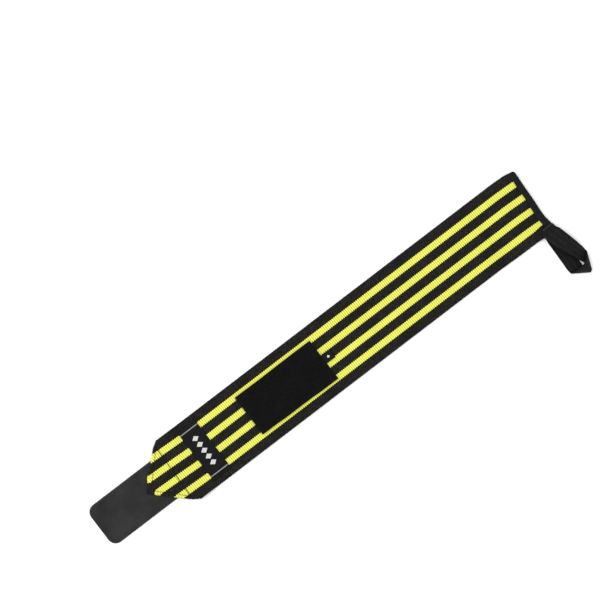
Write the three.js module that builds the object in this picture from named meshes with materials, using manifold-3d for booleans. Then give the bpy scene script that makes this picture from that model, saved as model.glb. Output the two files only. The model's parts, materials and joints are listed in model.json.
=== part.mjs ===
// A wrist wrap lying open on its inner face. Millimetres, +Z up, +X towards the bound end.
// The origin is under the band's centre line, half way between the tab's end and the bound end.
import * as THREE from 'three';
import { mergeVertices } from 'three/addons/utils/BufferGeometryUtils.js';
import Module from 'manifold-3d';

const wasm = await Module();
wasm.setup();

// The whole wrap
const overallLength = 597;
const clearance = 0.3;

// Elastic webbing, with stripes woven a little proud of it
const bandWidth = 80.5;
const bandThickness = 1.8;
const stripeCount = 4;
const stripeWidth = 6.8;
const stripePitch = 17.1;
const stripeRise = 0.25;
const stripeSlope = 0.3;
const tipRampLength = 34;
const endRampLength = 14;
const endSag = 1;
const endSagLength = 34;
const cornerDrop = 2.8;
const cornerLength = 16.5;

// Hook tab under the pointed end: a backing, and hooks that stop short of its edges. The point goes
// sideways with it
const tabLength = 104;
const tabWidth = 50.5;
const tabOffset = 1.2;
const tabCornerRadius = 9.8;
const tabBacking = 0.7;
const hookHeight = 0.8;
const hookMargin = 1.8;
const flapSlit = 0.6;

// Woven label across the band
const labelOffset = 27;
const labelWidth = 24;
const labelLength = 66.5;
const labelThickness = 1;

// Brushed loop patch, with its stitched box and cross
const patchOffset = 100.3;
const patchLength = 102;
const patchWidth = 50;
const patchFlare = 2;
const patchThickness = 2;
const seamInset = 2.6;
const seamWidth = 1.8;
const seamDepth = 0.5;

// Size tag, held under the patch's edge
const tagWidth = 10.5;
const tagLength = 12;
const tagTuck = 5;
const tagThickness = 1;

// Tape that binds the end and makes the thumb loop
const tapeWidth = 18.5;
const tapeThickness = 1.2;
const bindingFace = 7.4;
const endSkew = 3;
const loopReach = 62.8;
const loopRise = 9.5;
const tapeColumns = 12;
const loopSteps = 2;

// The bound end's edge, from the free corner to the loop's corner: its place across the band as a
// share of half the width, and how far it stands in from the wrap's end as a share of the skew
const endEdge = [
  { across: 0.93, inset: 0.5 },
  { across: 0.87, inset: 0.05 },
  { across: 0.74, inset: 0.03 },
  { across: 0.42, inset: 0.33 },
  { across: 0, inset: 0.57 },
  { across: -0.35, inset: 0.87 },
  { across: -0.55, inset: 0.97 },
  { across: -0.78, inset: 0.52 },
  { across: -0.93, inset: 0.4 },
  { across: -1.06, inset: 0.3 },
];

// Rulings of the thumb loop, from the leg on the floor, round the folded end, to the sewn leg.
// Each edge of the tape has: across, as a share of the tape's width from the wrap's end; along, as a
// share of the loop's reach from the band's edge; seat, a share of the height of the sewn corner;
// rise, a share of the loop's rise. Crown lifts the tape's middle, as a share of its width.
const loopRulings = [
  { outer: [-0.946, 0.167, 0, 0], inner: [0.043, 0.167, 0, 0], crown: 0 },
  { outer: [-0.978, 0.35, 0, 0], inner: [-0.005, 0.35, 0, 0], crown: 0 },
  { outer: [-0.995, 0.557, 0, 0], inner: [-0.054, 0.605, 0, 0], crown: 0 },
  { outer: [-1, 0.7, 0, 0], inner: [-0.07, 0.812, 0, 0], crown: 0 },
  { outer: [-0.984, 0.752, 0, 0.01], inner: [-0.01, 0.928, 0, 0], crown: 0 },
  { outer: [-0.946, 0.78, 0, 0.18], inner: [0.076, 0.992, 0, 0.14], crown: 0 },
  { outer: [-0.827, 0.796, 0, 0.36], inner: [0.108, 0.992, 0, 0.28], crown: 0.02 },
  { outer: [-0.54, 0.812, 0, 0.67], inner: [0.13, 0.99, 0, 0.35], crown: 0.06 },
  { outer: [-0.178, 0.809, 0, 0.88], inner: [0.146, 0.987, 0, 0.37], crown: 0.09 },
  { outer: [0.151, 0.769, 0, 0.8], inner: [0.162, 0.984, 0, 0.35], crown: 0.06 },
  { outer: [0.416, 0.704, 0, 0.48], inner: [0.178, 0.978, 0, 0.32], crown: 0.02 },
  { outer: [0.541, 0.648, 0, 0.2], inner: [0.184, 0.965, 0, 0.17], crown: 0 },
  { outer: [0.551, 0.61, 0, 0.04], inner: [0.13, 0.915, 0, 0.02], crown: 0 },
  { outer: [0.557, 0.557, 0, 0.12], inner: [0.065, 0.82, 0, 0.04], crown: 0 },
  { outer: [0.519, 0.484, 0, 0.35], inner: [-0.07, 0.707, 0, 0.29], crown: 0.01 },
  { outer: [0.459, 0.401, 0, 0.63], inner: [-0.265, 0.57, 0, 0.65], crown: 0.02 },
  { outer: [0.362, 0.291, 0, 0.86], inner: [-0.481, 0.454, 0, 0.93], crown: 0.03 },
  { outer: [0.259, 0.177, 0.25, 0.83], inner: [-0.676, 0.323, 0.25, 0.88], crown: 0.03 },
  { outer: [0.168, 0.096, 0.6, 0.55], inner: [-0.822, 0.188, 0.6, 0.59], crown: 0.02 },
  { outer: [0.097, 0.038, 0.9, 0.19], inner: [-0.919, 0.07, 0.9, 0.19], crown: 0 },
  { outer: [0.005, -0.013, 1, 0], inner: [-0.978, 0.019, 1, 0], crown: 0 },
  { outer: [-0.07, -0.097, 1, 0], inner: [-0.632, -0.097, 1, 0], crown: 0 },
];

// Places and heights that follow from the sizes
const tabEnd = -overallLength / 2;
const boundEnd = overallLength / 2;
const halfBand = bandWidth / 2;
const shoulder = tabEnd + tabLength;
const apex = shoulder - halfBand;
const tabThickness = tabBacking + hookHeight;
const flapFloor = tabThickness + clearance;
const tipLift = flapFloor + bandThickness + clearance;
const endLift = tapeThickness + clearance;
const bandTop = bandThickness + stripeRise;
const seatHeight = bandTop + clearance;
const bindingInner = bandTop + 2 * clearance;
const foldRadius = (bindingInner + tapeThickness) / 2;
const foldReach = foldRadius + tapeThickness / 2;
const upperFlat = bindingFace - foldReach;
const lowerFlat = tapeWidth - upperFlat - Math.PI * foldRadius;
const cornerStack = 2 * foldRadius + tapeThickness + clearance;
const bandFoldRadius = bandThickness + clearance / 2;
const foldOverlap = bandThickness / 3;

// A closed geometry as a solid that can be joined and cut
function solidOf(geometry) {
  geometry.deleteAttribute('normal');
  geometry.deleteAttribute('uv');
  const merged = mergeVertices(geometry, 1e-4);
  return new wasm.Manifold(new wasm.Mesh({
    numProp: 3,
    vertProperties: new Float32Array(merged.attributes.position.array),
    triVerts: new Uint32Array(merged.index.array),
  }));
}

// A named mesh with flat facets, from a solid
function meshOf(name, solid, surface) {
  const { vertProperties, triVerts } = solid.getMesh();
  const geometry = new THREE.BufferGeometry();
  geometry.setAttribute('position', new THREE.BufferAttribute(vertProperties, 3));
  geometry.setIndex(new THREE.BufferAttribute(triVerts, 1));
  geometry.computeVertexNormals();
  const mesh = new THREE.Mesh(geometry, new THREE.MeshStandardMaterial(surface));
  mesh.name = name;
  return mesh;
}

// A closed sheet of rows and columns, whose every vertex is put in place by a function of its row,
// its column and whether it is on the upper face
function gridSolid(rows, columns, place) {
  const geometry = new THREE.BoxGeometry(1, 1, 1, rows, columns, 1);
  const position = geometry.attributes.position;
  for (let k = 0; k < position.count; k += 1) {
    const row = Math.round((position.getX(k) + 0.5) * rows);
    const column = Math.round((position.getY(k) + 0.5) * columns);
    const point = place(row, column, position.getZ(k) > 0);
    position.setXYZ(k, point.x, point.y, point.z);
  }
  return solidOf(geometry);
}

// An upright prism on a plan outline
function prism(points, floor, height) {
  const outline = new THREE.Shape(points.map(([x, y]) => new THREE.Vector2(x, y)));
  const geometry = new THREE.ExtrudeGeometry(outline, { depth: height, bevelEnabled: false });
  geometry.translate(0, 0, floor);
  return solidOf(geometry);
}

// Even steps from one value to another, without the last value
function steps(from, to, count) {
  return Array.from({ length: count }, (_, k) => from + ((to - from) * k) / count);
}

// How high the band's inner face lies: over the tab and flaps at the tip, on the binding at the end
function bandFloor(x) {
  const tip = 1 - THREE.MathUtils.smoothstep(x, shoulder, shoulder + tipRampLength);
  const bindingEdge = boundEnd - foldReach - lowerFlat - endSkew;
  const end = THREE.MathUtils.smoothstep(x, bindingEdge - endRampLength, bindingEdge - clearance);
  return tip * tipLift + end * endLift;
}

// The band's way off its straight line: the point lies over the tab, and the bound end drops a little
// to the loop's side
function sideways(x) {
  const tip = 1 - THREE.MathUtils.smoothstep(x, shoulder, shoulder + tipRampLength);
  const end = THREE.MathUtils.smoothstep(x, boundEnd - endSagLength, boundEnd);
  return tip * tabOffset - end * endSag;
}

// The bound end's outer edge at one row of its table
function boundEdge(row) {
  return { x: boundEnd - row.inset * endSkew, y: row.across * halfBand };
}

// The band's plan outline: the pointed end up to its fold lines, and the end inside the binding
function bandOutline() {
  const foldInset = bandFoldRadius * Math.SQRT2;
  const points = [
    [apex + foldInset, tabOffset],
    [shoulder, tabOffset - halfBand + foldInset],
    [shoulder, tabOffset - halfBand],
    [shoulder + tipRampLength, -halfBand],
    [boundEnd - endSagLength, -halfBand],
  ];
  points.push([boundEdge(endEdge.at(-2)).x - foldReach, -halfBand - endSag]);
  endEdge.slice(0, -2).reverse().forEach((row) => {
    const edge = boundEdge(row);
    points.push([edge.x - foldReach, edge.y]);
  });
  points.push([boundEnd - cornerLength, halfBand]);
  points.push([shoulder + tipRampLength, halfBand]);
  points.push([shoulder, tabOffset + halfBand]);
  points.push([shoulder, tabOffset + halfBand - foldInset]);
  return points;
}

// Columns across the band: plain webbing, with four raised stripes
function bandColumns() {
  const overrun = bandWidth * 0.02;
  const columns = [{ y: -halfBand - overrun, rise: 0 }];
  for (let k = 0; k < stripeCount; k += 1) {
    const middle = (k - (stripeCount - 1) / 2) * stripePitch;
    const half = stripeWidth / 2;
    columns.push({ y: middle - half - stripeSlope, rise: 0 });
    columns.push({ y: middle - half, rise: stripeRise });
    columns.push({ y: middle + half, rise: stripeRise });
    columns.push({ y: middle + half + stripeSlope, rise: 0 });
  }
  columns.push({ y: halfBand + overrun, rise: 0 });
  return columns;
}

// The single layer of webbing, all along the wrap
function bandLayer() {
  const rampEnd = shoulder + tipRampLength;
  const sagStart = boundEnd - endSagLength;
  const endStart = boundEnd - foldReach - lowerFlat - endSkew;
  const stations = [
    apex - clearance,
    ...steps(shoulder, rampEnd, 10),
    ...steps(rampEnd, sagStart, 3),
    ...steps(sagStart, endStart, 7),
    endStart,
    boundEnd,
  ];
  const columns = bandColumns();
  return gridSolid(stations.length - 1, columns.length - 1, (row, column, upper) => {
    const x = stations[row];
    const { y, rise } = columns[column];
    const z = bandFloor(x) + (upper ? bandThickness + rise : 0);
    return new THREE.Vector3(x, y + sideways(x), z);
  });
}

// One corner of the webbing turned under: a flap and the rounded fold that joins it to the band
function foldedCorner(side) {
  const foldInset = bandFoldRadius * Math.SQRT2;
  const flapPlan = [
    [apex + foldInset + flapSlit, tabOffset + side * flapSlit / 2],
    [shoulder, tabOffset + side * flapSlit / 2],
    [shoulder, tabOffset + side * (halfBand - foldInset)],
  ];
  const flap = prism(side > 0 ? flapPlan : flapPlan.reverse(), flapFloor, bandThickness);
  const section = new THREE.Shape();
  section.moveTo(-foldOverlap, -bandFoldRadius);
  section.absarc(0, 0, bandFoldRadius, -Math.PI / 2, Math.PI / 2, false);
  section.lineTo(-foldOverlap, bandFoldRadius);
  section.lineTo(-foldOverlap, clearance / 2);
  section.absarc(0, 0, clearance / 2, Math.PI / 2, -Math.PI / 2, true);
  section.lineTo(-foldOverlap, -clearance / 2);
  const foldLength = halfBand * Math.SQRT2;
  const fold = new THREE.ExtrudeGeometry(section, { depth: foldLength, bevelEnabled: false, curveSegments: 6 });
  const outward = new THREE.Vector3(-1, side, 0).normalize();
  const up = new THREE.Vector3(0, 0, 1);
  const along = new THREE.Vector3().crossVectors(outward, up);
  const start = side > 0 ? new THREE.Vector2(apex, 0) : new THREE.Vector2(shoulder, -halfBand);
  const axisPoint = new THREE.Vector3(start.x, start.y + tabOffset, 0);
  axisPoint.addScaledVector(outward, -bandFoldRadius).setZ(tipLift - clearance / 2);
  fold.applyMatrix4(new THREE.Matrix4().makeBasis(outward, up, along).setPosition(axisPoint));
  return { flap, fold: solidOf(fold) };
}

// The elastic band with its folded point
function elasticBand() {
  const reach = bandWidth;
  const high = tipLift + bandTop + reach;
  let band = bandLayer().intersect(prism(bandOutline(), -reach, high + reach));
  [1, -1].forEach((side) => {
    const { flap, fold } = foldedCorner(side);
    const far = tabOffset + side * reach;
    const corner = [[apex - reach, tabOffset], [shoulder, tabOffset], [shoulder, far], [apex - reach, far]];
    const room = prism(side > 0 ? corner : corner.reverse(), -reach, high + reach);
    band = band.add(fold.intersect(room)).add(flap);
  });
  return band;
}

// A plan rectangle with its corners rounded by their own radii, clockwise from the lower left
function roundedOutline(left, bottom, right, top, leftRadius, rightRadius) {
  const shape = new THREE.Shape();
  const quarter = Math.PI / 2;
  shape.absarc(left + leftRadius, bottom + leftRadius, leftRadius, 2 * quarter, 3 * quarter, false);
  shape.absarc(right - rightRadius, bottom + rightRadius, rightRadius, -quarter, 0, false);
  shape.absarc(right - rightRadius, top - rightRadius, rightRadius, 0, quarter, false);
  shape.absarc(left + leftRadius, top - leftRadius, leftRadius, quarter, 2 * quarter, false);
  return shape;
}

// The hook tab: the hooks face the floor and the backing lies over them
function hookTab() {
  const bottom = tabOffset - tabWidth / 2;
  const top = tabOffset + tabWidth / 2;
  const backing = new THREE.ExtrudeGeometry(
    roundedOutline(tabEnd, bottom, shoulder, top, tabCornerRadius, clearance),
    { depth: tabBacking, bevelEnabled: false, curveSegments: 7 },
  );
  backing.translate(0, 0, hookHeight);
  const hooks = new THREE.ExtrudeGeometry(
    roundedOutline(
      tabEnd + hookMargin,
      bottom + hookMargin,
      shoulder - clearance,
      top - hookMargin,
      tabCornerRadius - hookMargin,
      clearance,
    ),
    { depth: hookHeight + tabBacking / 2, bevelEnabled: false, curveSegments: 7 },
  );
  return solidOf(backing).add(solidOf(hooks));
}

// The woven label follows the band down from the tip
function wovenLabel() {
  const stations = [...steps(0, labelWidth, 8), labelWidth].map((offset) => shoulder + labelOffset + offset);
  return gridSolid(stations.length - 1, 1, (row, column, upper) => {
    const x = stations[row];
    const z = bandFloor(x) + seatHeight + (upper ? labelThickness : 0);
    return new THREE.Vector3(x, (column - 0.5) * labelLength, z);
  });
}

// The patch's corners, moved in from its edges; its far end is a little wider on the loop's side
function patchCorners(inset) {
  const left = shoulder + patchOffset + inset;
  const right = shoulder + patchOffset + patchLength - inset;
  const half = patchWidth / 2 - inset;
  return [
    new THREE.Vector2(left, -half),
    new THREE.Vector2(right, -half - patchFlare),
    new THREE.Vector2(right, half),
    new THREE.Vector2(left, half),
  ];
}

// A shallow furrow that a line of stitches presses into the patch
function seam(from, to, top) {
  const length = from.distanceTo(to);
  const section = new THREE.Shape([
    new THREE.Vector2(-seamWidth, seamDepth),
    new THREE.Vector2(0, -seamDepth),
    new THREE.Vector2(seamWidth, seamDepth),
  ]);
  const furrow = new THREE.ExtrudeGeometry(section, { depth: length, bevelEnabled: false });
  const along = new THREE.Vector3(to.x - from.x, to.y - from.y, 0).normalize();
  const up = new THREE.Vector3(0, 0, 1);
  const across = new THREE.Vector3().crossVectors(up, along);
  furrow.applyMatrix4(new THREE.Matrix4().makeBasis(across, up, along).setPosition(from.x, from.y, top));
  return solidOf(furrow);
}

// The loop patch, with its seams and the hollow that holds the tag's end
function loopPatch() {
  const right = shoulder + patchOffset + patchLength;
  const plan = patchCorners(0).map((corner) => corner.toArray());
  let patch = prism(plan, seatHeight, patchThickness);
  const corners = patchCorners(seamInset);
  const lines = [[0, 1], [1, 2], [2, 3], [3, 0], [0, 2], [1, 3]];
  lines.forEach(([from, to]) => {
    patch = patch.subtract(seam(corners[from], corners[to], seatHeight + patchThickness));
  });
  const hollowSide = tagWidth / 2 + clearance;
  const hollow = prism([
    [right - tagTuck - clearance, -hollowSide],
    [right + tagTuck, -hollowSide],
    [right + tagTuck, hollowSide],
    [right - tagTuck - clearance, hollowSide],
  ], 0, seatHeight + tagThickness + clearance);
  return patch.subtract(hollow);
}

// The size tag comes out from under the patch
function sizeTag() {
  const edge = shoulder + patchOffset + patchLength;
  const half = tagWidth / 2;
  return prism([
    [edge - tagTuck, -half],
    [edge + tagLength, -half],
    [edge + tagLength, half],
    [edge - tagTuck, half],
  ], seatHeight, tagThickness);
}

// A point of the folded tape's section, by its distance along the tape from the lower free edge
function foldedPoint(distance, flat) {
  const arc = Math.PI * foldRadius;
  if (distance <= flat) {
    return { x: distance, z: 0 };
  }
  if (distance <= flat + arc) {
    const angle = (distance - flat) / foldRadius;
    return { x: flat + foldRadius * Math.sin(angle), z: foldRadius * (1 - Math.cos(angle)) };
  }
  return { x: 2 * flat + arc - distance, z: 2 * foldRadius };
}

// One row of the tape where it is folded, from the place of its lower free edge
function foldedRow(x, y, flat, slope) {
  return Array.from({ length: tapeColumns + 1 }, (_, k) => {
    const point = foldedPoint((k / tapeColumns) * tapeWidth, flat);
    const back = Math.max(0, flat - point.x);
    return new THREE.Vector3(x + point.x, y + slope * back, tapeThickness / 2 + point.z);
  });
}

// One edge point of the thumb loop, from the shares in its table
function loopPoint([across, along, seat, rise]) {
  return new THREE.Vector3(
    boundEnd + across * tapeWidth,
    -halfBand - along * loopReach,
    tapeThickness / 2 + seat * cornerStack + rise * loopRise,
  );
}

// Rows of the tape: folded over the band's end, opening out past the corner, then round the loop
function tapeRows() {
  const lowerEdge = (edge) => edge.x - foldReach - lowerFlat;
  const cornerSlope = cornerDrop / cornerLength;
  const rows = endEdge.map((row, k) => {
    const edge = boundEdge(row);
    return foldedRow(lowerEdge(edge), edge.y, lowerFlat, k === 0 ? cornerSlope : 0);
  });
  const last = boundEdge(endEdge.at(-1));
  const opened = loopPoint(loopRulings[0].outer);
  steps(0, 1, 6).slice(1).forEach((share) => {
    const flat = THREE.MathUtils.lerp(lowerFlat, tapeWidth, share);
    const x = THREE.MathUtils.lerp(lowerEdge(last), opened.x, share);
    rows.push(foldedRow(x, THREE.MathUtils.lerp(last.y, opened.y, share), flat, 0));
  });
  const outer = new THREE.CatmullRomCurve3(loopRulings.map((ruling) => loopPoint(ruling.outer)));
  const inner = new THREE.CatmullRomCurve3(loopRulings.map((ruling) => loopPoint(ruling.inner)));
  const spans = loopRulings.length - 1;
  for (let step = 0; step <= spans * loopSteps; step += 1) {
    const place = step / loopSteps;
    const before = Math.min(Math.floor(place), spans - 1);
    const crown = THREE.MathUtils.lerp(
      loopRulings[before].crown,
      loopRulings[before + 1].crown,
      place - before,
    );
    const from = outer.getPoint(place / spans);
    const to = inner.getPoint(place / spans);
    rows.push(Array.from({ length: tapeColumns + 1 }, (_, k) => {
      const share = k / tapeColumns;
      const point = new THREE.Vector3().lerpVectors(from, to, share);
      point.z += crown * tapeWidth * Math.sin(Math.PI * share);
      return point;
    }));
  }
  return rows;
}

// The binding and thumb loop: one tape, thickened to both sides of its middle surface
function bindingTape() {
  const rows = tapeRows();
  const lastRow = rows.length - 1;
  const normalAt = (row, column) => {
    const along = new THREE.Vector3().subVectors(
      rows[Math.min(row + 1, lastRow)][column],
      rows[Math.max(row - 1, 0)][column],
    );
    const across = new THREE.Vector3().subVectors(
      rows[row][Math.min(column + 1, tapeColumns)],
      rows[row][Math.max(column - 1, 0)],
    );
    return along.cross(across).normalize();
  };
  return gridSolid(lastRow, tapeColumns, (row, column, upper) => {
    const offset = (upper ? 0.5 : -0.5) * tapeThickness;
    return rows[row][column].clone().addScaledVector(normalAt(row, column), offset);
  });
}

const wrap = new THREE.Group();
wrap.add(meshOf('elastic_band', elasticBand(), { color: 0x242420, roughness: 0.9, metalness: 0 }));
wrap.add(meshOf('hook_tab', hookTab(), { color: 0x353535, roughness: 0.7, metalness: 0 }));
wrap.add(meshOf('woven_label', wovenLabel(), { color: 0x302f30, roughness: 0.75, metalness: 0 }));
wrap.add(meshOf('loop_patch', loopPatch(), { color: 0x191919, roughness: 0.95, metalness: 0 }));
wrap.add(meshOf('size_tag', sizeTag(), { color: 0x1c1c1c, roughness: 0.7, metalness: 0 }));
wrap.add(meshOf('binding_tape', bindingTape(), { color: 0x232222, roughness: 0.8, metalness: 0 }));

export default wrap;
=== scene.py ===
import bpy
import json
import math
from mathutils import Matrix, Vector, noise
from random import Random

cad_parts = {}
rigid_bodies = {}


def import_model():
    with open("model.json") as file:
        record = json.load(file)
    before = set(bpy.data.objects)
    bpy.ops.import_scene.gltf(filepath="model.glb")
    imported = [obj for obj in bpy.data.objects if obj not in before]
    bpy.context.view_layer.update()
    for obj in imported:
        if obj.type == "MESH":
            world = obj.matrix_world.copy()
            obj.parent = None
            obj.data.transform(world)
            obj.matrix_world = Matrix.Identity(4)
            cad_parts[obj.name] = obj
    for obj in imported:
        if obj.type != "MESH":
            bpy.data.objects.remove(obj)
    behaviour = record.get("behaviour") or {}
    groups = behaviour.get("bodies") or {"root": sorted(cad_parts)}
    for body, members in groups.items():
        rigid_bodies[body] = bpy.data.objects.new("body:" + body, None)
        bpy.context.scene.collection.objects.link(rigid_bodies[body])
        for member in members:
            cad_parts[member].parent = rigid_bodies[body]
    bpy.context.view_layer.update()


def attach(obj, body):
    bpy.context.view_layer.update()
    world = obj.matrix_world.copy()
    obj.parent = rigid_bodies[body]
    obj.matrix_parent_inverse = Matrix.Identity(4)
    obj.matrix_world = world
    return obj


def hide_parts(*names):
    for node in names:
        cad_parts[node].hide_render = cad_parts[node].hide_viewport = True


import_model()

# A weightlifting wrist wrap that lies open, outer face up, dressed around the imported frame.
# Sizes in the dictionaries are millimetres, angles are degrees and colours are sRGB hex.
mm = 0.001

wrap = {
    "overallLength": 597,
    "clearance": 0.3,
}
clearance = wrap["clearance"]
tabEnd = -wrap["overallLength"] / 2
boundEnd = wrap["overallLength"] / 2


def ease(value, start, end):  # from 0 to 1, soft at both ends
    share = min(max((value - start) / (end - start), 0), 1)
    return share * share * (3 - 2 * share)


def mix(start, end, share):
    return start + (end - start) * share


def wander(x, y, size, seed):  # soft unevenness from -1 to 1
    return noise.noise(Vector((x / size, y / size, seed)))


def evenSteps(start, end, count):
    return [mix(start, end, k / count) for k in range(count + 1)]


# Materials

def linearColour(code):
    channels = [int(code[k:k + 2], 16) / 255 for k in (1, 3, 5)]
    return [c / 12.92 if c <= 0.04045 else ((c + 0.055) / 1.055) ** 2.4 for c in channels] + [1]


def addNode(tree, kind, settings=None, inputs=None):  # an input is a socket, a hex colour or a value
    node = tree.nodes.new(kind)
    for key, value in (settings or {}).items():
        setattr(node, key, value)
    for key, value in (inputs or {}).items():
        if isinstance(value, bpy.types.NodeSocket):
            tree.links.new(value, node.inputs[key])
        else:
            node.inputs[key].default_value = linearColour(value) if isinstance(value, str) else value
    return node


def calc(operation, *values):  # one arithmetic step, in the tree that its first value comes from
    inputs = dict(enumerate(values))
    return addNode(values[0].id_data, "ShaderNodeMath", {"operation": operation}, inputs).outputs[0]


def product(value, *factors):
    for factor in factors:
        value = calc("MULTIPLY", value, factor)
    return value


def scaled(value, factor, added):  # value * factor + added
    return calc("MULTIPLY_ADD", value, factor, added)


def rescaled(value, start, end, first=0, last=1):
    inputs = {0: value, 1: start, 2: end, 3: first, 4: last}
    return addNode(value.id_data, "ShaderNodeMapRange", inputs=inputs).outputs[0]


def blend(share, first, second):
    inputs = {0: share, 6: first, 7: second}
    return addNode(share.id_data, "ShaderNodeMix", {"data_type": "RGBA"}, inputs).outputs[2]


def newCloth(name, look):
    material = bpy.data.materials.new(name)
    material.use_nodes = True
    inputs = material.node_tree.nodes["Principled BSDF"].inputs
    inputs["Roughness"].default_value = look["roughness"]
    inputs["IOR"].default_value = 1.53  # polyester and nylon fibre
    inputs["Specular IOR Level"].default_value = look["specular"]
    inputs["Sheen Weight"].default_value, inputs["Sheen Roughness"].default_value = look["sheen"]
    return material, material.node_tree


def finishCloth(material, colour, height=None, depth=0):  # depth of the relief in millimetres
    tree = material.node_tree
    shader = tree.nodes["Principled BSDF"]
    tree.links.new(colour, shader.inputs["Base Color"])
    if height:
        inputs = {"Height": height, "Distance": depth * mm, "Strength": 1.0}
        tree.links.new(addNode(tree, "ShaderNodeBump", inputs=inputs).outputs[0], shader.inputs["Normal"])
    return material


def clothPlace(tree):  # where a point is on the flat cloth, along and across in millimetres
    place = addNode(tree, "ShaderNodeUVMap", {"uv_map": "flatCloth"}).outputs[0]
    parts = addNode(tree, "ShaderNodeSeparateXYZ", inputs={0: place})
    return place, product(parts.outputs[0], 1000), product(parts.outputs[1], 1000)


def objectPlace(tree):
    return addNode(tree, "ShaderNodeTexCoord").outputs["Object"]


def painted(tree, name):  # a value that the mesh carries at each point
    return addNode(tree, "ShaderNodeAttribute", {"attribute_name": name}).outputs["Fac"]


def ridges(place, pitch):  # rounded ridges from 0 to 1, one for each pitch
    turns = product(place, math.tau / pitch)
    return scaled(calc("COSINE", turns), 0.5, 0.5)


def offMiddle(across, pitch, count):  # how far off its own stripe's middle, and whether within the row
    share = calc("FRACT", scaled(across, 1 / pitch, count / 2))
    off = product(calc("ABSOLUTE", calc("SUBTRACT", share, 0.5)), pitch)
    return off, calc("LESS_THAN", calc("ABSOLUTE", across), count / 2 * pitch)


def unevenness(place, size, detail=3):
    settings = {"Vector": place, "Scale": 1000 / size, "Detail": detail, "Roughness": 0.55}
    return addNode(place.id_data, "ShaderNodeTexNoise", inputs=settings).outputs["Fac"]


elasticLook = {
    "roughness": 0.85,
    "specular": 0.12,
    "sheen": (0.03, 0.5),  # weight and roughness, here and below
    "black": "#050505",
    "blackRib": "#34322e",
    "yellow": "#e6e862",
    "yellowGap": "#b3b544",
    "stripeCount": 4,
    "stripeWidth": 6.8,
    "stripePitch": 17.1,
    "weftPitch": 2.35,  # the real weft is about 1.25; coarser, so that it shows in the render
    "warpPitch": 1.7,
    "toothing": 0.8,
    "fuzzSize": 1.3,
    "mottleSize": 2.8,
    "wornSize": 30,
    "stripeShadeLine": -227.4,  # along the band, short of which the two middle stripes are drawn black near the point, as painted shade where the rounded fold turns down
    "shadeLineRound": 0.25,
    # how dark the painted shade along the seams is drawn
    "seamDarkness": 0.6,
    "relief": 0.3,
}


# Knitted polyester elastic: rubber threads in a dull yarn, ribbed by its weft, with the stripes
# made by bright yarn, which gives the yellow its fine cross ribs and toothed edges.
def elasticWebbing(look):
    material, tree = newCloth("knitted elastic webbing", look)
    place, along, across = clothPlace(tree)
    worn = unevenness(place, look["wornSize"])
    fuzz = unevenness(place, look["fuzzSize"], 2)
    mottle = rescaled(unevenness(place, look["mottleSize"], 2), 0.32, 0.68)
    weft = ridges(along, look["weftPitch"])
    warp = ridges(across, look["warpPitch"])
    offset = product(ridges(across, look["warpPitch"] * 2), look["weftPitch"] / 2)
    knit = ridges(calc("ADD", along, offset), look["weftPitch"])
    off, inside = offMiddle(across, look["stripePitch"], look["stripeCount"])
    toothed = scaled(weft, -look["toothing"], look["toothing"] / 2)
    ragged = scaled(fuzz, 0.35, calc("ADD", off, toothed))
    isStripe = calc("LESS_THAN", ragged, look["stripeWidth"] / 2 + 0.2)
    # Painted shade: short of the point the middle stripes are drawn black, where the rounded fold turns
    # down.
    start = scaled(product(off, off), look["shadeLineRound"], look["stripeShadeLine"])
    stripe = product(isStripe, inside, calc("GREATER_THAN", along, start))
    ribs = product(weft, scaled(warp, 0.25, 0.75))
    ribShade = scaled(worn, 0.5, scaled(fuzz, 0.5, ribs))
    yellow = blend(rescaled(ribShade, 0.45, 1.45), look["yellowGap"], look["yellow"])
    knitted = product(knit, scaled(warp, 0.6, 0.4))
    lit = product(knitted, scaled(worn, 1.4, -0.1), scaled(mottle, 1.5, 0.25))
    black = blend(lit, look["black"], look["blackRib"])
    # Painted shade in the seams' pressed grooves.
    pressed = product(painted(tree, "seamShade"), look["seamDarkness"])
    colour = blend(pressed, blend(stripe, black, yellow), look["black"])
    weave = calc("MAXIMUM", product(stripe, ribs), knitted)
    return finishCloth(material, colour, scaled(fuzz, 0.35, weave), look["relief"])


tapeLook = {
    "roughness": 0.66,
    "specular": 0.1,
    "sheen": (0.03, 0.4),
    "dark": "#070707",
    "light": "#2f2f2d",
    "pickPitch": 1.0,  # herringbone picks, drawn a little coarser than the real 0.7
    "wavePitch": 6.2,
    "rowShade": 0.45,  # painted shade: how much darker every other row of the herringbone is drawn, where its twill turns away from the light
    "paintedShadeLeg": (84, 130),  # along the tape, the loop's leg that lies on the table, drawn darker as painted shade under the loop
    # how much the painted shade darkens that leg
    "paintedShadeDepth": 0.5,
    "lighterEndFrom": 221.1,  # from here on to the cut end the tape is drawn lighter
    "cutEndColour": "#303030",
    "relief": 0.16,
}


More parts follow.
